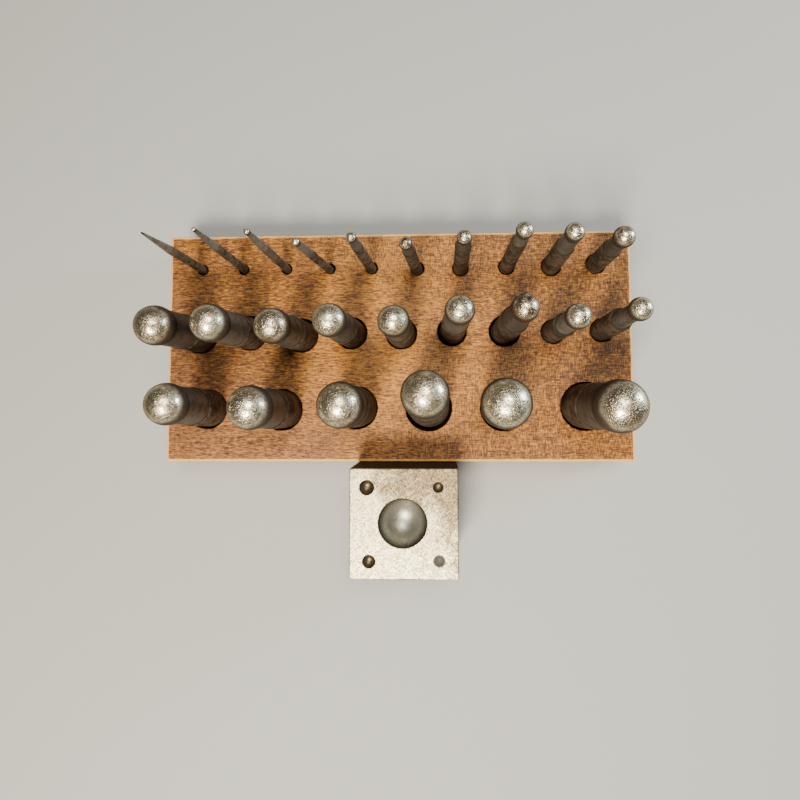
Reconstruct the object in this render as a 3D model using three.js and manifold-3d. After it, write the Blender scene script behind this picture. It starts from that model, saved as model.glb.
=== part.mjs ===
// Dapping set: a drilled hardwood stand holding twenty-five turned steel ball punches,
// with a loose steel doming block lying against its front edge.
// Millimetres, Z up, origin at the centre of the stand's underside.
import * as THREE from "three";
import { ConvexGeometry } from "three/addons/geometries/ConvexGeometry.js";
import { mergeVertices } from "three/addons/utils/BufferGeometryUtils.js";
import Module from "manifold-3d";

const wasm = await Module();
wasm.setup();

const STAND = { length: 258, width: 127, height: 28, chamfer: 1.2 };
const HOLE = { depth: 20, rim: 0.4, segments: 24 };
const REST_GAP = 0.3; // between a punch's lower edge and the floor of its hole

const BLOCK = { side: 54.5, chamfer: 0.7, x: 5.4, gapToStand: 0.4 };

// Every punch has the same length, so the balls all stand level.
const PUNCH = { length: 78.2, endChamfer: 1, shoulderChamfer: 0.6, landInset: 0.25, arcSteps: 8 };

// One line per punch, all sizes in millimetres. ball, shank and hole are diameters; neck is the
// diameter behind the ball and at the shoulder; shoulder is how far below the ball's centre the
// shank begins; land is the straight collar under a large ball; at is the hole's centre and
// lean the tilt in degrees toward +X and +Y, taken up by the hole's clearance.
function punch(ball, shank, hole, neck, shoulder, land, at, lean) {
  return { ball, shank, hole, neck, shoulder, land, at, lean };
}

const PUNCHES = [
  // back row, left to right
  punch(1, 4.4, 6, [0.9, 4.3], 24, 0, [-110, 44], [-2.9, 2.9]),
  punch(2, 4.4, 6, [1.8, 4.3], 23, 0, [-86.5, 44], [-2, 3.8]),
  punch(3, 4.4, 6, [2.6, 4.3], 22, 0, [-62, 44], [-2, 2.7]),
  punch(4, 4.5, 6.1, [3.5, 4.4], 20, 0, [-37.5, 44], [-3.7, -1.5]),
  punch(5, 5.5, 6.9, [4.3, 5.3], 14, 0, [-14, 44], [-2.2, 0.1]),
  punch(6, 6.4, 7.9, [5.2, 5.8], 12, 0, [11.5, 43.5], [-2.6, -2.2]),
  punch(7, 8, 9.2, [6.4, 7], 12, 0, [35.5, 43.5], [-0.4, 0]),
  punch(8, 8, 9.3, [6.6, 7], 13, 0, [61, 44], [1.3, 2.2]),
  punch(9, 10, 11.2, [8, 8.6], 20, 0, [85.5, 44], [-0.4, 1.3]),
  punch(10, 10, 11.4, [8.2, 8.4], 20, 0, [110, 45], [-2.6, -1.7]),
  // middle row, left to right
  punch(19, 18.6, 20.6, [17.6, 17.8], 26, 3, [-111, 7], [0.8, -1.5]),
  punch(18, 17.6, 19.6, [16.6, 16.8], 26, 3, [-82.5, 8], [-1.1, -1.6]),
  punch(17, 17, 19, [15.6, 16], 25, 2.8, [-53.5, 6.5], [-0.5, -1.8]),
  punch(16, 16, 18, [14.8, 15], 25, 2.8, [-25.5, 7.5], [-1.6, -0.5]),
  punch(15, 15.5, 17.5, [13.8, 14.2], 25, 2.8, [2.5, 7], [0, -0.7]),
  punch(14, 13.8, 16.4, [12.8, 13], 25, 1.5, [30.5, 8], [2.2, 2.6]),
  punch(13, 14.6, 17.5, [12.2, 13.2], 24, 0, [59.5, 8], [2.8, 3.2]),
  punch(12, 12.2, 13.5, [9.2, 10], 24, 0, [86, 7.5], [0.1, -0.2]),
  punch(11, 12, 13.2, [8.2, 9], 24, 0, [112.5, 8], [1.1, 2.1]),
  // front row, left to right
  punch(20, 20, 22, [18.6, 18.8], 26, 3, [-106, -34.5], [2, 2.9]),
  punch(21, 21, 23, [19.6, 19.8], 25, 3, [-64, -35], [-0.6, 1.7]),
  punch(22, 22, 23.6, [20.4, 20.6], 19, 3, [-22.5, -34], [-0.1, 1.8]),
  punch(23, 22.8, 25.8, [21.4, 21.6], 24, 3.2, [17.5, -34], [-0.7, 6.4]),
  punch(24, 23.6, 25.8, [22.4, 22.6], 25, 3.2, [58.5, -34], [-4.3, 2.3]),
  punch(25, 24.4, 26.6, [23.4, 23.6], 26, 3.4, [102.5, -33.5], [3.5, 0.4]),
];

// Round hollows cut in the faces of the doming block; its back is plain. mouth and depth in
// millimetres, u and v across the face from its centre.
const CAVITIES = {
  top: [
    { mouth: 24.5, depth: 11.3, u: -0.6, v: 0.2 },
    { mouth: 7.4, depth: 3.3, u: -18.5, v: 17.7 },
    { mouth: 5.1, depth: 2.3, u: 17.1, v: 17.9 },
    { mouth: 6.5, depth: 2.9, u: -17.4, v: -18.5 },
    { mouth: 5.9, depth: 1.4, u: 17.5, v: -18.1 },
  ],
  bottom: [
    { mouth: 28, depth: 13, u: 0, v: 0 },
    { mouth: 11, depth: 5, u: -19, v: 19 },
    { mouth: 10, depth: 4.6, u: 19, v: 19 },
    { mouth: 9, depth: 4.2, u: -19, v: -19 },
    { mouth: 8, depth: 3.7, u: 19, v: -19 },
  ],
  front: fourCavities([20, 19, 18, 17]),
  left: [{ mouth: 32, depth: 14.7, u: 0, v: 0 }],
  right: [{ mouth: 36, depth: 16.5, u: 0, v: 0 }],
};

function fourCavities(mouths) {
  const offset = BLOCK.side * 0.235;
  return mouths.map((mouth, i) => ({
    mouth,
    depth: mouth * 0.46,
    u: i % 2 ? offset : -offset,
    v: i < 2 ? offset : -offset,
  }));
}

// A geometry as a solid that can be cut.
function solidOf(geometry) {
  const bare = geometry.clone();
  bare.deleteAttribute("normal");
  bare.deleteAttribute("uv");
  const merged = mergeVertices(bare, 1e-4);
  return new wasm.Manifold(
    new wasm.Mesh({
      numProp: 3,
      vertProperties: merged.attributes.position.array,
      triVerts: new Uint32Array(merged.index.array),
    }),
  );
}

function geometryOf(solid) {
  const mesh = solid.getMesh();
  const geometry = new THREE.BufferGeometry();
  geometry.setAttribute("position", new THREE.BufferAttribute(mesh.vertProperties, 3));
  geometry.setIndex(new THREE.BufferAttribute(mesh.triVerts, 1));
  geometry.computeVertexNormals();
  return geometry;
}

// A box standing on z = 0 with every edge cut at 45 degrees.
function chamferedBox(length, width, height, chamfer) {
  const points = [];
  for (const sx of [-1, 1]) {
    for (const sy of [-1, 1]) {
      for (const sz of [-1, 1]) {
        for (const full of [0, 1, 2]) {
          const inset = [chamfer, chamfer, chamfer];
          inset[full] = 0;
          points.push(
            new THREE.Vector3(
              sx * (length / 2 - inset[0]),
              sy * (width / 2 - inset[1]),
              height / 2 + sz * (height / 2 - inset[2]),
            ),
          );
        }
      }
    }
  }
  return new ConvexGeometry(points);
}

// A turned shape about Z from [radius, height] pairs that start and end on the axis.
function turned(profile, segments) {
  const points = profile.map(([radius, height]) => new THREE.Vector2(radius, height));
  return new THREE.LatheGeometry(points, segments).rotateX(Math.PI / 2);
}

// Points on an arc about (0, centre) between two angles measured from the equator.
function arc(radius, centre, from, to, steps) {
  return Array.from({ length: steps + 1 }, (_, i) => {
    const angle = from + ((to - from) * i) / steps;
    return [i === steps ? 0 : radius * Math.cos(angle), centre + radius * Math.sin(angle)];
  });
}

function holeCutter(diameter) {
  const r = diameter / 2;
  return turned(
    [
      [0, -HOLE.depth],
      [r, -HOLE.depth],
      [r, -HOLE.rim],
      [r + HOLE.rim, 0],
      [r + HOLE.rim, 1],
      [0, 1],
    ],
    HOLE.segments,
  );
}

// A ball-ended cutter whose mouth is at z = 0 and whose lowest point is at -depth.
function cavityCutter({ mouth, depth }) {
  const r = mouth / 2;
  const sphere = (r * r + depth * depth) / (2 * depth);
  const rimAngle = Math.asin((sphere - depth) / sphere);
  const steps = mouth > 12 ? 6 : 3;
  const segments = mouth > 22 ? 28 : mouth > 12 ? 20 : 16;
  const bowl = arc(sphere, 0, rimAngle, Math.PI / 2, steps)
    .map(([radius, height]) => [radius, sphere - depth - height])
    .reverse();
  return turned([...bowl, [r, 1], [0, 1]], segments);
}

// Profile of a one-piece punch standing on z = 0: chamfered striking end, shank, shoulder,
// neck, land and ball.
function punchProfile({ ball, shank, neck, shoulder, land }) {
  const r = ball / 2;
  const s = shank / 2;
  const [behindBall, atShoulder] = neck.map((diameter) => diameter / 2);
  const centre = PUNCH.length - r;
  const step = centre - shoulder;
  const taper = Math.min(PUNCH.shoulderChamfer, s - atShoulder);
  const body = [
    [0, 0],
    [s - PUNCH.endChamfer, 0],
    [s, PUNCH.endChamfer],
    [s, step - taper],
    [atShoulder, step],
  ];
  if (land > 0) {
    const edge = r - PUNCH.landInset;
    return [
      ...body,
      [behindBall, centre - land - (edge - behindBall)],
      [edge, centre - land],
      ...arc(r, centre, -Math.acos(edge / r), Math.PI / 2, PUNCH.arcSteps),
    ];
  }
  const from = -Math.acos(behindBall / r);
  return [...body, ...arc(r, centre, from, Math.PI / 2, PUNCH.arcSteps)];
}

const group = new THREE.Group();
group.name = "dapping_set";

function addMesh(name, geometry, color, metalness, roughness) {
  const material = new THREE.MeshStandardMaterial({ color, metalness, roughness });
  const mesh = new THREE.Mesh(geometry, material);
  mesh.name = name;
  group.add(mesh);
  return mesh;
}

function addStand() {
  let solid = solidOf(chamferedBox(STAND.length, STAND.width, STAND.height, STAND.chamfer));
  for (const { hole, at } of PUNCHES) {
    solid = solid.subtract(solidOf(holeCutter(hole).translate(...at, STAND.height)));
  }
  addMesh("stand", geometryOf(solid), 0x8a5426, 0, 0.6);
}

// The punch leans about the middle of its hole's depth and rests on its lower edge.
function addPunch(spec) {
  const segments = spec.ball < 5 ? 12 : spec.ball < 13 ? 16 : 20;
  const [towardX, towardY] = spec.lean.map(THREE.MathUtils.degToRad);
  const axis = new THREE.Vector3(Math.tan(towardX), Math.tan(towardY), 1).normalize();
  const dip = (spec.shank / 2 - PUNCH.endChamfer) * Math.hypot(axis.x, axis.y);
  const footHeight = STAND.height - HOLE.depth + REST_GAP + dip;
  const pivot = new THREE.Vector3(...spec.at, STAND.height - HOLE.depth / 2);
  const mesh = addMesh(
    `punch_${String(spec.ball).padStart(2, "0")}mm`,
    turned(punchProfile(spec), segments),
    0x8d877b,
    1,
    0.35,
  );
  mesh.quaternion.setFromUnitVectors(new THREE.Vector3(0, 0, 1), axis);
  mesh.position.copy(pivot).addScaledVector(axis, (footHeight - pivot.z) / axis.z);
}

// Each face's frame: across, up and outward directions seen from outside.
const half = BLOCK.side / 2;
const FACES = {
  top: [[1, 0, 0], [0, 1, 0], [0, 0, 1]],
  bottom: [[-1, 0, 0], [0, 1, 0], [0, 0, -1]],
  front: [[1, 0, 0], [0, 0, 1], [0, -1, 0]],
  left: [[0, -1, 0], [0, 0, 1], [-1, 0, 0]],
  right: [[0, 1, 0], [0, 0, 1], [1, 0, 0]],
};

function addBlock() {
  let solid = solidOf(chamferedBox(BLOCK.side, BLOCK.side, BLOCK.side, BLOCK.chamfer));
  for (const [face, cavities] of Object.entries(CAVITIES)) {
    const [across, up, out] = FACES[face].map((v) => new THREE.Vector3(...v));
    for (const cavity of cavities) {
      const place = new THREE.Matrix4().makeBasis(across, up, out);
      const mouth = new THREE.Vector3(0, 0, half)
        .addScaledVector(across, cavity.u)
        .addScaledVector(up, cavity.v)
        .addScaledVector(out, half);
      place.setPosition(mouth);
      solid = solid.subtract(solidOf(cavityCutter(cavity).applyMatrix4(place)));
    }
  }
  const mesh = addMesh("doming_block", geometryOf(solid), 0xb9b2a3, 1, 0.4);
  mesh.position.set(BLOCK.x, -STAND.width / 2 - BLOCK.gapToStand - half, 0);
}

addStand();
PUNCHES.forEach(addPunch);
addBlock();

export default group;
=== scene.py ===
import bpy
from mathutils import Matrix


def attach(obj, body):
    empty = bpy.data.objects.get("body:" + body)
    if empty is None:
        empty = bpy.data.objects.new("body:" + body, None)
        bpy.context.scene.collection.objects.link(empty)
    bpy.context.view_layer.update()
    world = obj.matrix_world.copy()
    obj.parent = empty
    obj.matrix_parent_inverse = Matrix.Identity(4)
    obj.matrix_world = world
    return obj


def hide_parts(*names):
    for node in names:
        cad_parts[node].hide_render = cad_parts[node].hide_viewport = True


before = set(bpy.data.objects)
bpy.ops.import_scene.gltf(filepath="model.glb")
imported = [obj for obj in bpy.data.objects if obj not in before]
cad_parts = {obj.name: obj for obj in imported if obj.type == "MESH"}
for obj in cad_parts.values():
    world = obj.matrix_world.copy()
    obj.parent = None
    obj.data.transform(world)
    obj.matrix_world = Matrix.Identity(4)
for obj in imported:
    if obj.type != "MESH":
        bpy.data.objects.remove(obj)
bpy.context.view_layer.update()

import math

import bmesh
import bpy
import numpy as np
from mathutils import Vector
from mathutils.geometry import delaunay_2d_cdt

mm = 0.001
scene = bpy.context.scene
print("frame loaded:", len(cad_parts), "nodes")

# camera, floor and lights

camera = {
    "place": (0.0235, -0.0310, 0.3222),
    "turnDegrees": (3.27, 2.18, -0.19),
    "lens": 24.03,
    "shift": (-0.0241, -0.0355),
}

lights = {
    # name: place, size, watts, colour
    "keyFront": ((-0.11, -0.50, 0.80), 0.30, 17.5, (1.0, 0.91, 0.75)),
    "softAbove": ((0.10, 0.20, 0.90), 0.42, 6.4, (1.0, 0.95, 0.86)),
    "windowRight": ((0.80, 0.26, 0.22), 0.30, 6.5, (0.74, 0.90, 1.0)),
}

studio = {"colour": (0.62, 0.58, 0.52), "strength": 0.12}

floorLook = {"size": 4, "height": -0.0004, "colour": (0.42, 0.42, 0.405), "roughness": 0.95}


def addCamera():
    data = bpy.data.cameras.new("camera")
    data.lens = camera["lens"]
    data.shift_x, data.shift_y = camera["shift"]
    data.clip_start = 0.01
    eye = bpy.data.objects.new("camera", data)
    eye.location = camera["place"]
    eye.rotation_euler = [math.radians(angle) for angle in camera["turnDegrees"]]
    scene.collection.objects.link(eye)
    scene.camera = eye


def addLights():
    for name, (place, size, watts, colour) in lights.items():
        data = bpy.data.lights.new(name, "AREA")
        data.shape = "DISK"
        data.size = size
        data.energy = watts
        data.color = colour
        lamp = bpy.data.objects.new(name, data)
        lamp.location = place
        lamp.rotation_euler = (-Vector(place)).to_track_quat("-Z", "Y").to_euler()
        scene.collection.objects.link(lamp)
    world = bpy.data.worlds.new("studio")
    world.use_nodes = True
    background = world.node_tree.nodes["Background"]
    background.inputs["Color"].default_value = (*studio["colour"], 1)
    background.inputs["Strength"].default_value = studio["strength"]
    scene.world = world


# shader helpers


class Wire:
    # One output socket that can be used in arithmetic.
    def __init__(self, shader, socket):
        self.shader = shader
        self.socket = socket

    def math(self, operation, *values):
        return self.shader.node("ShaderNodeMath", {"operation": operation}, dict(enumerate(values)))

    def __add__(self, other):
        return self.math("ADD", self, other)

    def __sub__(self, other):
        return self.math("SUBTRACT", self, other)

    def __rsub__(self, other):
        return self.math("SUBTRACT", other, self)

    def __mul__(self, other):
        return self.math("MULTIPLY", self, other)

    def __truediv__(self, other):
        return self.math("DIVIDE", self, other)

    def __rtruediv__(self, other):
        return self.math("DIVIDE", other, self)

    def __pow__(self, other):
        return self.math("POWER", self, other)

    def __abs__(self):
        return self.math("ABSOLUTE", self)

    __radd__ = __add__
    __rmul__ = __mul__

    def least(self, other):
        return self.math("MINIMUM", self, other)

    def most(self, other):
        return self.math("MAXIMUM", self, other)


class Shader:
    # A material whose nodes are written as calls and expressions.
    def __init__(self, name):
        self.material = bpy.data.materials.new(name)
        self.material.use_nodes = True
        self.tree = self.material.node_tree
        self.surface = self.tree.nodes["Principled BSDF"]
        self.place = self.node("ShaderNodeTexCoord", out="Object")

    def node(self, kind, settings=None, values=None, out=0):
        made = self.tree.nodes.new(kind)
        for key, value in (settings or {}).items():
            if key == "stops":
                ramp = made.color_ramp.elements
                while len(ramp) < len(value):
                    ramp.new(0.5)
                for element, (position, colour) in zip(ramp, value):
                    element.position = position
                    element.color = (*colour, 1)
            else:
                setattr(made, key, value)
        for key, value in (values or {}).items():
            self.feed(made.inputs[key], value)
        return Wire(self, made.outputs[out])

    def feed(self, socket, value):
        if isinstance(value, Wire):
            self.tree.links.new(value.socket, socket)
        elif isinstance(value, tuple) and socket.type == "RGBA":
            socket.default_value = (*value, 1)
        else:
            socket.default_value = value

    def set(self, **values):
        for key, value in values.items():
            self.feed(self.surface.inputs[key.replace("_", " ")], value)

    def axes(self):
        split = self.tree.nodes.new("ShaderNodeSeparateXYZ")
        self.feed(split.inputs[0], self.place)
        return [Wire(self, socket) for socket in split.outputs]

    def stretched(self, scale, turn=0.0):  # scale counts along axes turned by so many degrees
        values = {"Vector": self.place, "Rotation": (0, 0, math.radians(turn))}
        values["Scale"] = tuple(1 / along for along in scale)
        return self.node("ShaderNodeMapping", {"vector_type": "TEXTURE"}, values)

    def noise(self, vector, scale, detail, roughness=0.55):
        values = {"Vector": vector, "Scale": scale, "Detail": detail, "Roughness": roughness}
        return self.node("ShaderNodeTexNoise", None, values)

    def between(self, value, low, high):  # 0 below low, 1 above high, smooth in between
        settings = {"interpolation_type": "SMOOTHSTEP"}
        return self.node("ShaderNodeMapRange", settings, {0: value, 1: low, 2: high})

    def mix(self, amount, first, second):
        colours = {0: amount, 6: first, 7: second}
        return self.node("ShaderNodeMix", {"data_type": "RGBA"}, colours, out=2)

    def attribute(self, name):
        return self.node("ShaderNodeAttribute", {"attribute_name": name}, out="Fac")

    def bump(self, height, distance, strength):
        values = {"Height": height, "Distance": distance, "Strength": strength}
        self.set(Normal=self.node("ShaderNodeBump", None, values))


# mesh helpers


def gridFaces(rows, columns, start=0):
    # Quads joining a grid of points, each row closed into a ring.
    rowStart = start + np.arange(rows - 1)[:, None] * columns
    column = np.arange(columns)[None, :]
    below = rowStart + column
    beside = rowStart + (column + 1) % columns
    return np.stack([below, beside, beside + columns, below + columns], -1).reshape(-1, 4)


def fanFaces(first, columns, tip, outward=True):
    # Triangles joining a ring of points to one point.
    here = first + np.arange(columns)
    beside = first + (np.arange(columns) + 1) % columns
    tips = np.full(columns, tip)
    return np.stack([here, beside, tips] if outward else [beside, here, tips], -1)


def ripple(points, size, seed, waves=28):
    # Smooth irregular value, mostly between -2 and 2: the sum of cosine waves in seeded
    # directions, divided by the square root of how many there are.
    rng = np.random.default_rng(seed)
    directions = rng.normal(size=(waves, 3))
    directions /= np.linalg.norm(directions, axis=1)[:, None]
    lengths = size * rng.uniform(0.7, 1.6, waves)
    phases = rng.uniform(0, 2 * math.pi, waves)
    angles = points @ (directions / lengths[:, None]).T * 2 * math.pi + phases
    return np.cos(angles).sum(1) / math.sqrt(waves)


def smooth(value, low, high):
    # 0 below low and 1 above high, joined by a cubic that starts and ends level.
    t = np.clip((value - low) / (high - low), 0, 1)
    return t * t * (3 - 2 * t)


def addPiece(name, points, faces, masks, material, body, node, flat=None):
    # points in millimetres; masks are one value per point; flat marks faces shaded flat.
    mesh = bpy.data.meshes.new(name)
    corners = [face for group in faces for face in group.tolist()]
    mesh.from_pydata((points * mm).tolist(), [], corners)
    for key, values in masks.items():
        layer = mesh.attributes.new(key, "FLOAT", "POINT")
        layer.data.foreach_set("value", np.asarray(values, np.float32))
    smoothFaces = np.ones(len(mesh.polygons), bool)
    if flat is not None:
        smoothFaces = ~flat
    mesh.polygons.foreach_set("use_smooth", smoothFaces)
    work = bmesh.new()
    work.from_mesh(mesh)
    bmesh.ops.remove_doubles(work, verts=work.verts, dist=1e-7)
    work.to_mesh(mesh)
    work.free()
    mesh.materials.append(material)
    piece = bpy.data.objects.new(name, mesh)
    scene.collection.objects.link(piece)
    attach(piece, body)
    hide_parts(node)


# punches

punchShape = {
    "length": 78.2,
    "holeDepth": 20,
    "footGap": 0.3,
    "endChamfer": 1.0,
    "shoulderChamfer": 0.6,
    "landInset": 0.25,
    "collarGap": 0.1,
    "ballRings": 44,
    "segments": {5: 40, 11: 56, 26: 80},  # points round a punch whose ball is smaller than the key
    "dentSize": 2.6,
    "dentDepth": 0.06,  # reached where the pattern passes its threshold by 1
    "dentDepthPerSize": 0.003,  # the same for a small ball, per millimetre of its diameter
    "dentSpread": 17.0,  # moves the pattern on from one punch to the next
}

# ball: shank, hole, neck behind ball, neck at shoulder, shoulder, land, hole x and y,
# lean toward +X and +Y in degrees, brightness of the neck, rust on the ball
punches = {
    1: (4.4, 6, 0.9, 4.3, 24, 0, -110, 44, -2.9, 2.9, 0.55, 0.2),
    2: (4.4, 6, 1.8, 4.3, 23, 0, -86.5, 44, -2, 3.8, 0.55, 0.1),
    3: (4.4, 6, 2.6, 4.3, 22, 0, -62, 44, -2, 2.7, 0.6, 0.1),
    4: (4.5, 6.1, 3.5, 4.4, 20, 0, -37.5, 44, -3.7, -1.5, 0.7, 0.1),
    5: (5.5, 6.9, 4.3, 5.3, 14, 0, -14, 44, -2.2, 0.1, 0.3, 0.2),
    6: (6.4, 7.9, 5.2, 5.8, 12, 0, 11.5, 43.5, -2.6, -2.2, 0.25, 0.5),
    7: (8, 9.2, 6.4, 7, 12, 0, 35.5, 43.5, -0.4, 0, 0.2, 0.5),
    8: (8, 9.3, 6.6, 7, 13, 0, 61, 44, 1.3, 2.2, 0.55, 0.2),
    9: (10, 11.2, 8, 8.6, 20, 0, 85.5, 44, -0.4, 1.3, 0.4, 0.2),
    10: (10, 11.4, 8.2, 8.4, 20, 0, 110, 45, -2.6, -1.7, 0.15, 0.7),
    19: (18.6, 20.6, 17.6, 17.8, 26, 3, -111, 7, 0.8, -1.5, 0.15, 0.5),
    18: (17.6, 19.6, 16.6, 16.8, 26, 3, -82.5, 8, -1.1, -1.6, 0.45, 0.1),
    17: (17, 19, 15.6, 16, 25, 2.8, -53.5, 6.5, -0.5, -1.8, 0.3, 0.4),
    16: (16, 18, 14.8, 15, 25, 2.8, -25.5, 7.5, -1.6, -0.5, 0.35, 0.1),
    15: (15.5, 17.5, 13.8, 14.2, 25, 2.8, 2.5, 7, 0, -0.7, 0.4, 0.3),
    14: (13.8, 16.4, 12.8, 13, 25, 1.5, 30.5, 8, 2.2, 2.6, 0.6, 0.2),
    13: (14.6, 17.5, 12.2, 13.2, 24, 0, 59.5, 8, 2.8, 3.2, 0.15, 0.8),
    12: (12.2, 13.5, 9.2, 10, 24, 0, 86, 7.5, 0.1, -0.2, 1.0, 0.2),
    11: (12, 13.2, 8.2, 9, 24, 0, 112.5, 8, 1.1, 2.1, 0.45, 0.2),
    20: (20, 22, 18.6, 18.8, 26, 3, -106, -34.5, 2, 2.9, 0.3, 0.3),
    21: (21, 23, 19.6, 19.8, 25, 3, -64, -35, -0.6, 1.7, 0.3, 0.3),
    22: (22, 23.6, 20.4, 20.6, 19, 3, -22.5, -34, -0.1, 1.8, 0.25, 0.3),
    23: (22.8, 25.8, 21.4, 21.6, 24, 3.2, 17.5, -34, -0.7, 6.4, 0.4, 0.2),
    24: (23.6, 25.8, 22.4, 22.6, 25, 3.2, 58.5, -34, -4.3, 2.3, 0.3, 0.1),
    25: (24.4, 26.6, 23.4, 23.6, 26, 3.4, 102.5, -33.5, 3.5, 0.4, 0.15, 0.5),
}


def eased(corners, steps=5):
    # Replaces each inner corner of a polyline by a short curve: a parabola whose ends lie the
    # corner's own reach along the two sides. corners are (radius, height, reach).
    points = np.array([corner[:2] for corner in corners], float)
    reach = [corner[2] for corner in corners]
    run = [points[:1]]
    t = np.linspace(0, 1, steps + 1)[:, None]
    for before, corner, after, r in zip(points, points[1:], points[2:], reach[1:-1]):
        into, out = corner - before, after - corner
        a = corner - into / np.linalg.norm(into) * min(r, np.linalg.norm(into) * 0.45)
        b = corner + out / np.linalg.norm(out) * min(r, np.linalg.norm(out) * 0.45)
        run.append((1 - t) ** 2 * a + 2 * t * (1 - t) * corner + t**2 * b)
    run.append(points[-1:])
    return np.concatenate(run)


def divided(run, longest):
    # Adds points so that no stretch of a polyline is longer than the given length.
    parts = []
    for a, b in zip(run, run[1:]):
        count = max(1, int(math.ceil(np.linalg.norm(b - a) / longest)))
        parts.append(a + (b - a) * np.linspace(0, 1, count, endpoint=False)[:, None])
    return np.concatenate([*parts, run[-1:]])


def punchProfile(ball, shank, neckTop, neckFoot, shoulder, land):
    # Radius and height from the centre of the foot up to the top of the ball, and the heights
    # of the two places where the finish changes.
    r, s, a, b = ball / 2, shank / 2, neckTop / 2, neckFoot / 2
    shape = punchShape
    centre = shape["length"] - r
    step = centre - shoulder
    taper = min(shape["shoulderChamfer"], s - b)
    chamfer = shape["endChamfer"]
    corners = [
        (0, 0, 0),
        (s - chamfer, 0, 0.2),
        (s, chamfer, 0.3),
        (s, step - taper, 0.12),
        (b, step, 0.25),
    ]
    if land:
        edge = r - shape["landInset"]
        corners += [(a, centre - land - (edge - a), 0.25), (edge, centre - land, 0.1)]
        start = -math.acos(edge / r)
        collar = centre - land - shape["collarGap"]
    else:
        start = -math.acos(a / r)
        collar = centre + r * math.sin(start)
    corners.append((r * math.cos(start), centre + r * math.sin(start), 0))
    body = divided(eased(corners), 2.0)
    angles = np.linspace(start, math.pi / 2, shape["ballRings"])
    ball = np.stack([r * np.cos(angles), centre + r * np.sin(angles)], -1)
    return np.concatenate([body[:-1], ball]), centre, step, collar, taper


def addPunch(size, spec, material):
    shank, hole, neckTop, neckFoot, shoulder, land, x, y, leanX, leanY, bright, rust = spec
    profile, centre, step, collar, taper = punchProfile(
        size, shank, neckTop, neckFoot, shoulder, land
    )
    shape = punchShape
    segments = next(count for limit, count in shape["segments"].items() if size < limit)
    turn = np.linspace(0, 2 * math.pi, segments, endpoint=False)
    radius, height = profile[1:-1, 0], profile[1:-1, 1]

    # a point is the profile's radius turned round the axis, less a scatter of shallow dents
    local = np.stack(
        [
            radius[:, None] * np.cos(turn),
            radius[:, None] * np.sin(turn),
            np.repeat(height[:, None], segments, 1),
        ],
        -1,
    ).reshape(-1, 3)
    inward = local - np.array([0, 0, centre]) * (local[:, 2:] > collar)
    inward[:, 2] *= local[:, 2] > collar
    inward /= np.maximum(np.linalg.norm(inward, axis=1), 1e-6)[:, None]
    dents = np.clip(ripple(local + size * shape["dentSpread"], shape["dentSize"], size) - 0.9, 0, 1.2)
    dents *= min(shape["dentDepth"], size * shape["dentDepthPerSize"])
    local -= inward * dents[:, None]
    local = np.concatenate([local, [[0, 0, 0], [0, 0, shape["length"]]]])

    # masks for the finish, and ring for the shoulder chamfer's painted shade; shank, neck and ring
    # end within a few tenths of a millimetre
    z = local[:, 2]
    onShank = 1 - smooth(z, step + 0.05, step + 0.25)
    onNeck = (1 - onShank) * (1 - smooth(z, collar - 0.15, collar + 0.05))
    edges = np.exp(-(((z - step + taper + 0.1) / 0.12) ** 2)) * (1.0 if land else 0.25)
    if land:
        edges = edges + np.exp(-(((z - collar - 0.1) / 0.14) ** 2))
    ring = smooth(z, step - taper - 0.15, step - taper + 0.05)
    ring = ring * (1 - smooth(z, step + 0.1, step + 0.35))
    masks = {
        "neck": onNeck,
        "shank": onShank,
        "edge": np.clip(edges, 0, 1),
        "bright": np.full(len(local), bright),
        "rust": np.full(len(local), rust),
        # side is 1 below the ball's top and fades to 0 near it: where the ball gets painted shade and
        # painted dark reflection
        "side": 1 - smooth((z - centre) / (size / 2), 0.14, 0.88),
        "ring": ring,
    }

    # stood on its lower edge, leaning about the middle of the hole's depth
    axis = np.array([math.tan(math.radians(leanX)), math.tan(math.radians(leanY)), 1.0])
    axis /= np.linalg.norm(axis)
    top = standShape["size"][2]
    foot = top - shape["holeDepth"] + shape["footGap"]
    foot += (shank / 2 - shape["endChamfer"]) * math.hypot(axis[0], axis[1])
    pivot = np.array([x, y, top - shape["holeDepth"] / 2])
    origin = pivot + axis * (foot - pivot[2]) / axis[2]
    across = np.cross([0, 1, 0], axis)
    across /= np.linalg.norm(across)
    basis = np.stack([across, np.cross(axis, across), axis])
    points = origin + local @ basis

    rings = len(radius)
    count = rings * segments
    faces = [
        gridFaces(rings, segments),
        fanFaces(0, segments, count, outward=False),
        fanFaces(count - segments, segments, count + 1),
    ]
    name = f"punch_{size:02d}mm"
    addPiece(f"ballPunch{size:02d}", points, faces, masks, material, name, name)


# rounded blocks with hollows, for the stand and the doming block

faceFrames = {
    # face: the directions across, up and out, seen from outside
    "top": ((1, 0, 0), (0, 1, 0), (0, 0, 1)),
    "bottom": ((-1, 0, 0), (0, 1, 0), (0, 0, -1)),
    "front": ((1, 0, 0), (0, 0, 1), (0, -1, 0)),
    "back": ((-1, 0, 0), (0, 0, 1), (0, 1, 0)),
    "left": ((0, -1, 0), (0, 0, 1), (-1, 0, 0)),
    "right": ((0, 1, 0), (0, 0, 1), (1, 0, 0)),
}


def bandValues(half, rounding, spacing, steps):
    # Places across a face: the turned edge band at even angles, then even steps on the flat.
    bend = rounding * np.tan(np.linspace(0, math.pi / 4, steps + 1)[1:])
    flat = half - rounding
    count = max(1, int(round(2 * flat / spacing)))
    middle = np.linspace(-flat, flat, count + 1)
    return np.concatenate([-flat - bend[::-1], middle, flat + bend]), middle


def roundedPoints(points, half, rounding):
    # Moves points of a sharp box onto the box with rounded edges: the part beyond the inner
    # box is shortened to the rounding radius.
    inner = np.clip(points, -(half - rounding), half - rounding)
    beyond = points - inner
    return inner + beyond / np.linalg.norm(beyond, axis=1)[:, None] * rounding


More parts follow.
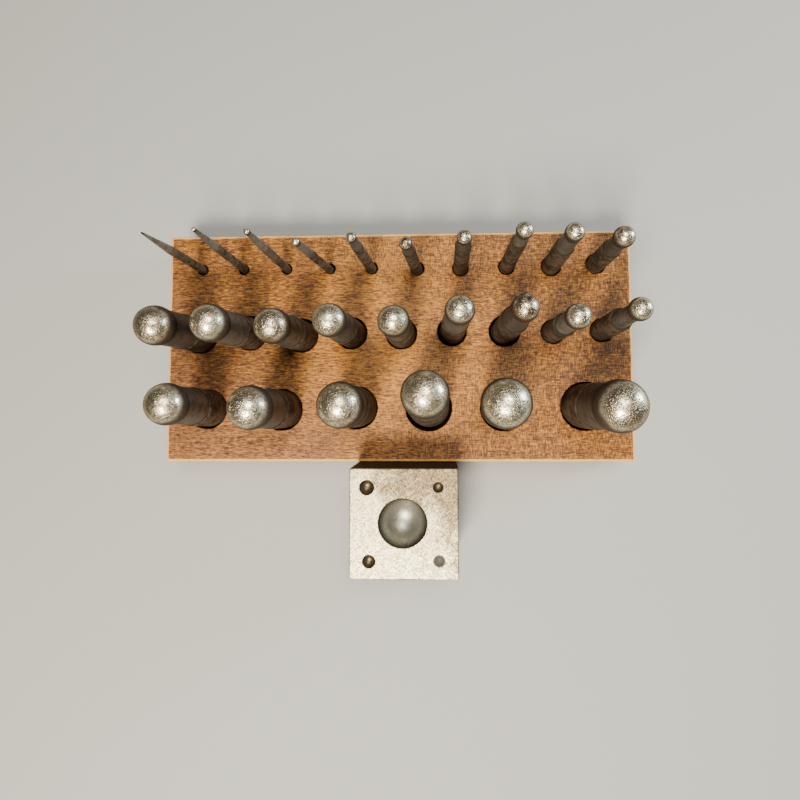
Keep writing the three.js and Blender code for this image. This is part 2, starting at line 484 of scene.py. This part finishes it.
def panelTriangles(across, up, loops, extra):
    # The flat middle of a face: a constrained triangulation of its border and the hollows'
    # mouths, less the triangles inside a mouth.
    border = np.concatenate(
        [
            np.stack([across[:-1], np.full(len(across) - 1, up[0])], -1),
            np.stack([np.full(len(up) - 1, across[-1]), up[:-1]], -1),
            np.stack([across[:0:-1], np.full(len(across) - 1, up[-1])], -1),
            np.stack([np.full(len(up) - 1, across[0]), up[:0:-1]], -1),
        ]
    )
    rings = [border, *loops]
    edges = []
    start = 0
    for ring in rings:
        index = np.arange(len(ring))
        edges.append(np.stack([start + index, start + (index + 1) % len(ring)], -1))
        start += len(ring)
    flat = np.concatenate([*rings, extra])
    result = delaunay_2d_cdt(
        [Vector(p) for p in flat.tolist()], np.concatenate(edges).tolist(), [], 0, 1e-6
    )
    points = np.array([tuple(v) for v in result[0]])
    triangles = np.array([t for t in result[2] if len(t) == 3])
    a, b, c = points[triangles[:, 0]], points[triangles[:, 1]], points[triangles[:, 2]]
    area = (b[:, 0] - a[:, 0]) * (c[:, 1] - a[:, 1]) - (b[:, 1] - a[:, 1]) * (c[:, 0] - a[:, 0])
    triangles[area < 0] = triangles[area < 0][:, ::-1]
    middle = (a + b + c) / 3
    keep = np.abs(area) > 1e-9
    for loop in loops:
        centre = loop.mean(0)
        angle = np.arctan2(*(loop - centre).T[::-1])
        order = np.argsort(angle)
        reach = np.interp(
            np.arctan2(*(middle - centre).T[::-1]),
            angle[order],
            np.linalg.norm(loop - centre, axis=1)[order],
            period=2 * math.pi,
        )
        keep &= np.linalg.norm(middle - centre, axis=1) > reach * 0.999
    return points, triangles[keep]


def hollowBody(size, rounding, hollows, spacing, steps, dings, seed):
    # hollows maps a face to a list of (u, v, rings, roughness, segments), where rings are
    # (radius, depth) pairs from the mouth to the deepest point on the axis.
    half = np.array(size) / 2
    points, faces, depths, flats, start = [], [], [], [], 0
    for face, (across, up, out) in faceFrames.items():
        across, up, out = (np.array(v, float) for v in (across, up, out))
        reach = [float(np.abs(v) @ half) for v in (across, up, out)]
        us, middleU = bandValues(reach[0], rounding, spacing, steps)
        vs, middleV = bandValues(reach[1], rounding, spacing, steps)
        u, v = np.meshgrid(us, vs)
        spot = u.reshape(-1, 1) * across + v.reshape(-1, 1) * up + reach[2] * out
        points.append(roundedPoints(spot, half, rounding))
        depths.append(np.zeros(len(spot)))
        corner = np.arange(len(vs) - 1)[:, None] * len(us) + np.arange(len(us) - 1)[None, :]
        quads = np.stack([corner, corner + 1, corner + len(us) + 1, corner + len(us)], -1)
        bandU, bandV = (
            (np.arange(count) < steps) | (np.arange(count) >= count - steps)
            for count in (len(us) - 1, len(vs) - 1)
        )
        quads = quads[bandV[:, None] | bandU[None, :]]
        faces.append(start + quads)
        flats.append(np.zeros(len(quads), bool))
        start += len(spot)

        loops, walls = [], []
        for cu, cv, rings, rough, segments in hollows.get(face, []):
            turn = np.linspace(0, 2 * math.pi, segments, endpoint=False)
            ringLine = np.stack([np.cos(turn), np.sin(turn), np.zeros(segments)], -1)
            wear = ripple(ringLine * 10 + cu, 3.0, seed + int(abs(cu * 7 + cv)))
            worn = 1 + rough * np.clip(wear, -0.2, 2)
            radius, depth = np.array(rings[:-1]).T
            fade = np.exp(-depth / 0.8)[:, None]
            spread = radius[:, None] * (1 + (worn[None, :] - 1) * fade)
            place = np.stack([cu + spread * np.cos(turn), cv + spread * np.sin(turn)], -1)
            loops.append(place[0])
            walls.append((place, depth, rings[-1][1], segments, (cu, cv)))

        gridU, gridV = np.meshgrid(middleU[1:-1], middleV[1:-1])
        extra = np.stack([gridU.ravel(), gridV.ravel()], -1)
        for loop in loops:
            centre = loop.mean(0)
            clear = np.linalg.norm(loop - centre, axis=1).max() + 0.8
            extra = extra[np.linalg.norm(extra - centre, axis=1) > clear]
        flatPoints, triangles = panelTriangles(middleU, middleV, loops, extra)
        points.append(flatPoints[:, :1] * across + flatPoints[:, 1:] * up + reach[2] * out)
        depths.append(np.zeros(len(flatPoints)))
        faces.append(start + triangles)
        flats.append(np.ones(len(triangles), bool))
        start += len(flatPoints)

        for place, depth, deepest, segments, (cu, cv) in walls:
            rows = len(depth)
            level = np.repeat(reach[2] - depth, segments)
            flatPlace = place.reshape(-1, 2)
            points.append(flatPlace[:, :1] * across + flatPlace[:, 1:] * up + level[:, None] * out)
            points.append((cu * across + cv * up + (reach[2] - deepest) * out)[None, :])
            depths.append(np.append(np.repeat(depth, segments), deepest))
            quads = gridFaces(rows, segments, start)
            tip = fanFaces(start + (rows - 1) * segments, segments, start + rows * segments)
            faces += [quads, tip]
            flats += [np.zeros(len(quads), bool), np.zeros(len(tip), bool)]
            start += rows * segments + 1

    points = np.concatenate(points)
    depths = np.concatenate(depths)
    # the rounded edges are knocked in a little, by long bruises and by short nicks
    inner = np.clip(points, -(half - rounding), half - rounding)
    beyond = points - inner
    away = np.linalg.norm(beyond, axis=1)
    turned = ((np.abs(beyond) > 0.001).sum(1) > 1) & (depths == 0)
    bruises = np.clip(ripple(points, 9.0, seed), 0, 2)
    nicks = np.clip(ripple(points, 2.5, seed + 1) - 0.8, 0, 1)
    pull = bruises * 0.5 + nicks
    points = points - beyond / np.maximum(away, 1e-6)[:, None] * (pull * turned * dings)[:, None]
    return points, faces, depths, np.concatenate(flats)


# wooden stand

standShape = {
    "size": (258, 127, 28),
    "rounding": 1.2,
    "spacing": 4.0,
    "holeDepth": 20,
    "rimEase": 0.35,
    "rimWear": 0.012,
    "edgeSteps": 5,
    "dings": 0.35,
    "seed": 11,
}

woodLook = {
    "dark": (0.042, 0.013, 0.003),
    "middle": (0.225, 0.083, 0.012),
    "light": (0.59, 0.245, 0.026),
    "pinkish": (0.28, 0.128, 0.072),
    "edge": (0.88, 0.48, 0.13),
    "stain": (0.050, 0.024, 0.016),
    # near-black painted shade for the inside of the drilled holes
    "hole": (0.012, 0.007, 0.004),
}

woodFibres = {
    # name: scale along x, y and z per metre, detail
    "bands": ((7, 110, 110), 4.0),
    "grain": ((150, 1250, 1250), 2.0),
    "flecks": ((360, 1600, 1600), 1.0),
    "cross": ((1700, 320, 900), 1.0),
}

woodShares = {"bands": 0.10, "grain": 0.36, "flecks": 0.50, "blotch": 0.06}


def holeRings(diameter):
    # A drilled hole: an eased mouth, a straight wall and a flat floor.
    r, ease, depth = diameter / 2, standShape["rimEase"], standShape["holeDepth"]
    turn = np.linspace(0, math.pi / 2, 5)
    mouth = [(r + ease * (1 - math.sin(t)), ease * (1 - math.cos(t))) for t in turn]
    wall = [(r, d) for d in (1, 2, 4, 8, 14, depth - 0.3)]
    return [*mouth, *wall, (r - 0.3, depth), (r * 0.5, depth), (0, depth)]


def addStand(material):
    shape = standShape
    hollows = []
    for spec in punches.values():
        hole, place = spec[1], spec[6:8]
        hollows.append((*place, holeRings(hole), shape["rimWear"], 96 if hole > 12 else 64))
    points, faces, depths, flat = hollowBody(
        shape["size"],
        shape["rounding"],
        {"top": hollows},
        shape["spacing"],
        shape["edgeSteps"],
        shape["dings"],
        shape["seed"],
    )
    points[:, 2] += shape["size"][2] / 2
    masks = {"depth": depths}
    addPiece("woodenStand", points, faces, masks, material, "stand", "stand", flat)


def makeWood():
    s = Shader("oldStainedHardwood")
    look = woodLook
    x, y, z = s.axes()
    drift = s.noise(s.stretched((9, 9, 9)), 1.0, 2.0)
    push = s.node("ShaderNodeVectorMath", {"operation": "SCALE"}, {0: drift, "Scale": 0.012})
    warped = s.node("ShaderNodeVectorMath", {"operation": "ADD"}, {0: s.place, 1: push})

    def along(name):
        scale, detail = woodFibres[name]
        fibres = s.node("ShaderNodeMapping", None, {"Vector": warped, "Scale": scale})
        return s.noise(fibres, 1.0, detail, 0.62)

    bands, grain, flecks, cross = (along(name) for name in woodFibres)
    blotch = s.noise(s.place, 22.0, 3.0, 0.6)
    smudge = s.noise(s.place, 60.0, 3.0, 0.6)
    weave = s.between(s.noise(s.place, 14.0, 1.0) + x * 1.6, 0.40, 0.70)
    crossShare = 0.12 + weave * 0.42
    # brighter in the middle, a painted pool of light; duller halfway back at the two ends
    bright = 1 - s.between((x * x + y * y) ** 0.5, 0.015, 0.085)
    dull = s.between(abs(x), 0.055, 0.105) * (1 - s.between(abs(y), 0.018, 0.045))
    share = woodShares
    tone = bands * share["bands"] + grain * share["grain"] + flecks * share["flecks"]
    tone = tone + cross * crossShare + blotch * share["blotch"]
    tone = tone / (sum(share.values()) + crossShare)
    tone = s.between(tone + bright * 0.055 - dull * 0.025, 0.350, 0.675)
    colour = s.node(
        "ShaderNodeValToRGB",
        {"stops": [(0.0, look["dark"]), (0.5, look["middle"]), (1.0, look["light"])]},
        {0: tone},
    )
    pink = s.between(s.noise(s.place, 16.0, 2.0) - x * 3 - y * 4, 0.55, 1.05)
    colour = s.mix(pink * tone * 0.55, colour, look["pinkish"])
    stains = s.between(blotch * 0.6 + smudge * 0.4, 0.54, 0.68)
    colour = s.mix(stains * 0.22, colour, look["stain"])
    length, width, height = (v * mm for v in standShape["size"])
    dx = length / 2 - abs(x)
    dy = width / 2 - abs(y)
    dz = height / 2 - abs(z - height / 2)
    nearest = dx.least(dy).most(dx.most(dy).least(dz))  # the second smallest of the three
    rub = s.noise(s.place, 260.0, 3.0) * 0.0010
    worn = 1 - s.between(nearest - rub, 0.0004, 0.0012)
    inside = s.attribute("depth")
    worn = worn * (1 - s.between(inside, 0.0, 0.2))
    colour = s.mix(worn * 0.92, colour, look["edge"])
    # the drilled holes are painted near black below the mouth: painted shade in the holes
    colour = s.mix(s.between(inside, 0.1, 5.0) * 0.85, colour, look["hole"])
    s.set(Base_Color=colour, Roughness=0.62 - tone * 0.14 + stains * 0.08)
    s.set(Specular_IOR_Level=0.35)
    s.bump(grain * 0.5 + flecks * 0.4 + cross * crossShare * 0.6, 0.00016, 0.7)
    return s.material


# doming block

blockShape = {
    "side": 54.5,
    "rounding": 0.7,
    "centre": (5.4, -91.15),
    "spacing": 3.0,
    "rimEase": 0.25,
    "rimWear": 0.004,
    "bowlRings": 18,
    "edgeSteps": 5,
    "dings": 0.22,
    "seed": 23,
    # face: mouth diameter, depth, place across and up the face
    "cavities": {
        "top": [
            (24.5, 11.3, -0.6, 0.2),
            (7.4, 3.3, -18.5, 17.7),
            (5.1, 2.3, 17.1, 17.9),
            (6.5, 2.9, -17.4, -18.5),
            (5.9, 1.4, 17.5, -18.1),
        ],
        "bottom": [
            (28, 13, 0, 0),
            (11, 5, -19, 19),
            (10, 4.6, 19, 19),
            (9, 4.2, -19, -19),
            (8, 3.7, 19, -19),
        ],
        "front": [
            (20, 9.2, -12.81, 12.81),
            (19, 8.74, 12.81, 12.81),
            (18, 8.28, -12.81, -12.81),
            (17, 7.82, 12.81, -12.81),
        ],
        "left": [(32, 14.7, 0, 0)],
        "right": [(36, 16.5, 0, 0)],
    },
}

steelLook = {
    "ball": (0.98, 0.88, 0.64),
    # dark colour for the ball's sides: painted shade and painted dark reflection
    "side": (0.062, 0.054, 0.042),
    "tarnish": (0.23, 0.175, 0.105),
    "rust": (0.13, 0.060, 0.034),
    "rustFilm": (0.30, 0.185, 0.150),
    # the same painted shade and dark reflection on a rusty ball's sides
    "rustyBallShade": (0.050, 0.028, 0.022),
    "pit": (0.045, 0.032, 0.022),
    # dark neck steel, also painted with the dark room that the polished neck reflects
    "neckSteelAndDarkReflection": (0.150, 0.132, 0.108),
    "neckBright": (0.36, 0.345, 0.305),
    "neckStain": (0.070, 0.054, 0.038),
    "shank": (0.155, 0.115, 0.080),
    "shankDark": (0.062, 0.047, 0.034),
    # near-black painted shade for the shoulder chamfer
    "ring": (0.026, 0.018, 0.011),
    "edge": (0.42, 0.38, 0.31),
    "block": (0.82, 0.735, 0.46),
    "blockTarnish": (0.24, 0.148, 0.080),
    "blockSpeck": (0.115, 0.088, 0.050),
    "blockScratch": (0.95, 0.88, 0.68),
    # faces other than the ground top: oxide, darkened further as painted shade like the back face in
    # the stand's shadow
    "blockSideOxideAndShade": (0.038, 0.033, 0.027),
    "bowl": (0.33, 0.322, 0.275),
    # painted shade near the bowls' mouths, where the steep walls would reflect dark surroundings
    "bowlWallShade": (0.085, 0.080, 0.066),
    "smallBowl": (0.135, 0.108, 0.068),
    "flatBowl": (0.100, 0.085, 0.074),
    "punchTint": (0.20, 0.20, 0.20),  # colour of the steel seen at a slant
    "blockTint": (0.35, 0.35, 0.35),
}

punchGrain = {
    # name: scale per metre, detail, roughness
    "broad": (120.0, 3.0, 0.6),
    "patches": (420.0, 4.0, 0.65),
    "fine": (1150.0, 1.0, 0.6),
    "grit": (1700.0, 1.0, 0.6),
}

blockGrain = {
    "broad": (45.0, 3.0, 0.6),
    "patches": (190.0, 4.0, 0.65),
    "fine": (850.0, 1.0, 0.6),
    "grit": (1500.0, 1.0, 0.6),
}

blockScratches = {"scale": (110, 1500, 900), "rising": 43, "falling": -48}  # angles in degrees


def cavityRings(mouth, depth):
    # A bowl cut by a ball: an eased rim, then even angles down the sphere to its lowest point.
    r = mouth / 2
    sphere = (r * r + depth * depth) / (2 * depth)
    start = math.asin((sphere - depth) / sphere)
    ease = blockShape["rimEase"]
    rim = [(r + ease, 0), (r + ease * 0.4, ease * 0.25)]
    angles = np.linspace(start, math.pi / 2, blockShape["bowlRings"] if mouth > 12 else 10)[:-1]
    bowl = [(sphere * math.cos(a), sphere * math.sin(a) - (sphere - depth)) for a in angles]
    bowl[0] = (r, ease * 0.7)
    return [*rim, *bowl, (0, depth)]


def smallMouths(points, depths):
    # 1 inside the cavities near the corners of the top and the underside, which stay dark,
    # and less in the shallow one at the top's front right, which is a flatter grey.
    away = points[:, :2] - blockShape["centre"]
    high = points[:, 2] - blockShape["side"] / 2
    corner = (depths > 0) & (np.abs(away).min(1) > 12) & (np.abs(high) > 20)
    shallow = corner & (away[:, 0] > 0) & (away[:, 1] < 0) & (high > 0)
    return corner * 1.0 - shallow * 0.6


def addBlock(material):
    shape = blockShape
    side = shape["side"]
    hollows = {
        face: [
            (u, v, cavityRings(mouth, depth), shape["rimWear"], 96 if mouth > 12 else 48)
            for mouth, depth, u, v in cavities
        ]
        for face, cavities in shape["cavities"].items()
    }
    points, faces, depths, flat = hollowBody(
        (side, side, side),
        shape["rounding"],
        hollows,
        shape["spacing"],
        shape["edgeSteps"],
        shape["dings"],
        shape["seed"],
    )
    points += np.array([*shape["centre"], side / 2])
    masks = {"depth": depths, "small": smallMouths(points, depths)}
    node = "doming_block"
    addPiece("domingBlock", points, faces, masks, material, node, node, flat)


def makePunchSteel():
    s = Shader("wornPunchSteel")
    look = steelLook
    neck, shank, edge = s.attribute("neck"), s.attribute("shank"), s.attribute("edge")
    bright, rusty = s.attribute("bright"), s.attribute("rust")
    broad, patches, fine, grit = (s.noise(s.place, *kind) for kind in punchGrain.values())
    pits = s.between(fine * 0.80 + patches * 0.20, 0.565, 0.640)
    specks = s.between(grit * 0.65 + fine * 0.35, 0.49, 0.57)
    tarnish = s.between(patches * 0.45 + broad * 0.55, 0.46, 0.62)
    # side: the ball's colour darkens away from its top, as painted shade and painted dark reflection
    side = s.between(s.attribute("side") + broad * 0.5 - 0.25, 0.08, 0.88)
    ball = s.mix(tarnish * (0.18 + rusty * 0.5), look["ball"], look["tarnish"])
    ball = s.mix(specks * 0.58, ball, look["tarnish"])
    ball = s.mix(rusty * 0.50, ball, look["rustFilm"])
    ball = s.mix(side * 0.98, ball, s.mix(rusty, look["side"], look["rustyBallShade"]))
    rustSpots = s.between(broad * 0.5 + patches * 0.5 + rusty * 0.14, 0.60, 0.68)
    ball = s.mix(rustSpots * 0.7, ball, look["rust"])
    ball = s.mix(pits * 0.8, ball, look["pit"])
    # the neck's colour paints in its dark reflection; bright lightens it toward pale polished steel
    neckColour = s.mix(bright, look["neckSteelAndDarkReflection"], look["neckBright"])
    neckColour = s.mix(tarnish * 0.55, neckColour, look["neckStain"])
    shankTone = s.between(patches * 0.5 + broad * 0.5, 0.40, 0.60)
    shankColour = s.mix(shankTone, look["shankDark"], look["shank"])
    colour = s.mix(neck, ball, neckColour)
    colour = s.mix(shank, colour, shankColour)
    # ring darkens the shoulder chamfer, which faces the lamps: painted shade
    ring = s.attribute("ring")
    colour = s.mix(ring * 0.88, colour, look["ring"])
    colour = s.mix(edge * s.between(patches, 0.40, 0.58) * 0.5, colour, look["edge"])
    ballRough = 0.24 + tarnish * 0.08 + pits * 0.22 + specks * 0.08 + side * 0.18
    neckRough = 0.33 + tarnish * 0.15
    shankRough = 0.52 + patches * 0.16 + ring * 0.2
    onBall = (1 - neck) * (1 - shank)
    dull = shank * 0.45 + neck * 0.30 + ring * 0.4 + onBall * (side * 0.50 + pits * 0.25)
    s.set(
        Base_Color=colour,
        Metallic=1 - dull,
        Roughness=ballRough * onBall + neckRough * neck + shankRough * shank,
    )
    relief = patches * 0.15 - pits * 0.6 - specks * 0.5 + fine * 0.15
    s.bump(relief * (0.25 + onBall * 0.75), 0.00010, 0.8)
    s.set(Specular_Tint=look["punchTint"], Specular_IOR_Level=0.12)
    return s.material


def makeBlockSteel():
    s = Shader("groundBlockSteel")
    look = steelLook
    depth, small = s.attribute("depth"), s.attribute("small")
    bowl = s.between(depth, 0.05, 0.35)
    x, y, z = s.axes()
    centreX, centreY = blockShape["centre"]
    ground = s.between(z, (blockShape["side"] - 0.9) * mm, (blockShape["side"] - 0.1) * mm)
    broad, patches, fine, grit = (s.noise(s.place, *kind) for kind in blockGrain.values())
    rising, falling = (
        s.noise(s.stretched(blockScratches["scale"], blockScratches[way]), 1.0, 1.0, 0.6)
        for way in ("rising", "falling")
    )
    lines = s.between(rising, 0.53, 0.64).most(s.between(falling, 0.54, 0.66))
    # grows toward the right-hand corner beside the stand
    corner = (x - centreX * mm) * 8 + (y - centreY * mm) * 9
    tarnish = s.between(broad * 0.8 + patches * 0.5 + corner, 0.56, 0.88)
    grain = s.between(fine * 0.35 + grit * 0.65, 0.46, 0.56)
    colour = s.mix(tarnish * 0.82, look["block"], look["blockTarnish"])
    colour = s.mix(grain * (0.54 + tarnish * 0.22), colour, look["blockSpeck"])
    colour = s.mix(lines * (0.34 - tarnish * 0.22), colour, look["blockScratch"])
    # all faces but the ground top: oxide colour plus painted shade
    oxideAndShade = s.mix(grain * 0.25, look["blockSideOxideAndShade"], look["blockTarnish"])
    colour = s.mix(1 - ground, colour, oxideAndShade)
    # bowls darken toward their mouths: painted shade and painted dark reflection on the steep walls
    rimShade = 1 - s.between(depth, 1.0, 7.5)
    bowlColour = s.mix(rimShade * 0.9, look["bowl"], look["bowlWallShade"])
    bowlColour = s.mix(grain * 0.12 + tarnish * 0.1, bowlColour, look["tarnish"])
    deep = s.between(small, 0.5, 1.0)
    shallow = s.between(small, 0.0, 0.4) - deep
    bowlColour = s.mix(shallow * s.between(depth, 0.3, 0.9), bowlColour, look["flatBowl"])
    bowlColour = s.mix(deep, bowlColour, look["smallBowl"])
    colour = s.mix(bowl, colour, bowlColour)
    flat = ground * (1 - bowl)
    s.set(
        Base_Color=colour,
        Metallic=0.92 - (1 - ground) * (1 - bowl) * 0.4 - shallow * 0.7,
        Roughness=0.50 + tarnish * 0.08 + grain * 0.08 - lines * 0.08 - bowl * 0.10 + shallow * 0.2,
    )
    s.bump((fine * 0.3 - grain * 0.5 + lines * 0.3) * (0.12 + flat * 0.88), 0.00008, 0.7)
    s.set(Specular_Tint=look["blockTint"], Specular_IOR_Level=0.15)
    return s.material


def makeFloor():
    s = Shader("paleFloor")
    s.set(Base_Color=floorLook["colour"], Roughness=floorLook["roughness"])
    return s.material


# everything is built here

addCamera()
addLights()

bpy.ops.mesh.primitive_plane_add(size=floorLook["size"], location=(0, 0, floorLook["height"]))
floor = bpy.context.object
floor.name = "floor"
floor.data.materials.append(makeFloor())
print("camera, lights and floor made")

addStand(makeWood())
print("stand made")

steel = makePunchSteel()
for size, spec in punches.items():
    addPunch(size, spec, steel)
print("punches made:", len(punches))

addBlock(makeBlockSteel())
print("doming block made")
